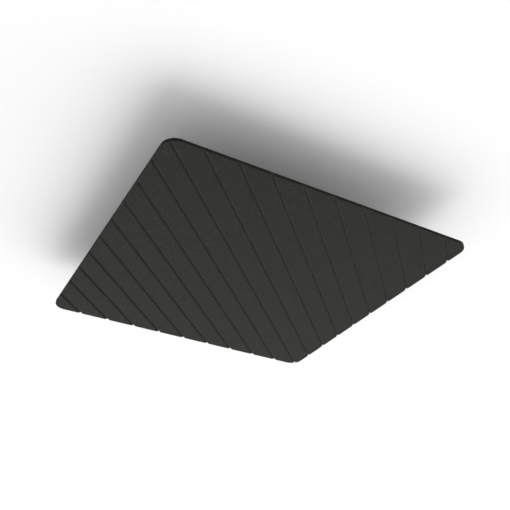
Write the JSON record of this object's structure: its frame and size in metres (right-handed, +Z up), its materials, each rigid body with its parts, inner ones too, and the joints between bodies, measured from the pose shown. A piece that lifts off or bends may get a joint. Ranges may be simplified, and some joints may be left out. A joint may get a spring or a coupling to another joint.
{
  "type": "ceiling panel",
  "caption": "Square felt ceiling panel with rounded corners and straight diagonal V grooves in its visible face, hung by threaded steel plates on its back.",
  "frame": {"origin": "centre of the visible face, which is the lowest plane of the part", "axes": "+Z up from the visible face towards the ceiling, X and Y along the sides of the sheet, grooves along the X = Y diagonal"},
  "size_m": [1.2, 1.2, 0.0176],
  "materials": {
    "charcoal_felt": "matt pressed felt, dark charcoal",
    "plate_steel": "zinc-plated sheet steel",
    "nut_steel": "zinc-plated turned steel",
    "screw_steel": "yellowish zinc-plated steel"
  },
  "bodies": {
    "root": {"felt_panel": "charcoal_felt", "hanger_plate_1": "plate_steel", "hanger_plate_2": "plate_steel", "hanger_plate_3": "plate_steel", "hanger_plate_4": "plate_steel", "hanger_nuts": "nut_steel", "plate_screws": "screw_steel"}
  },
  "joints": []
}
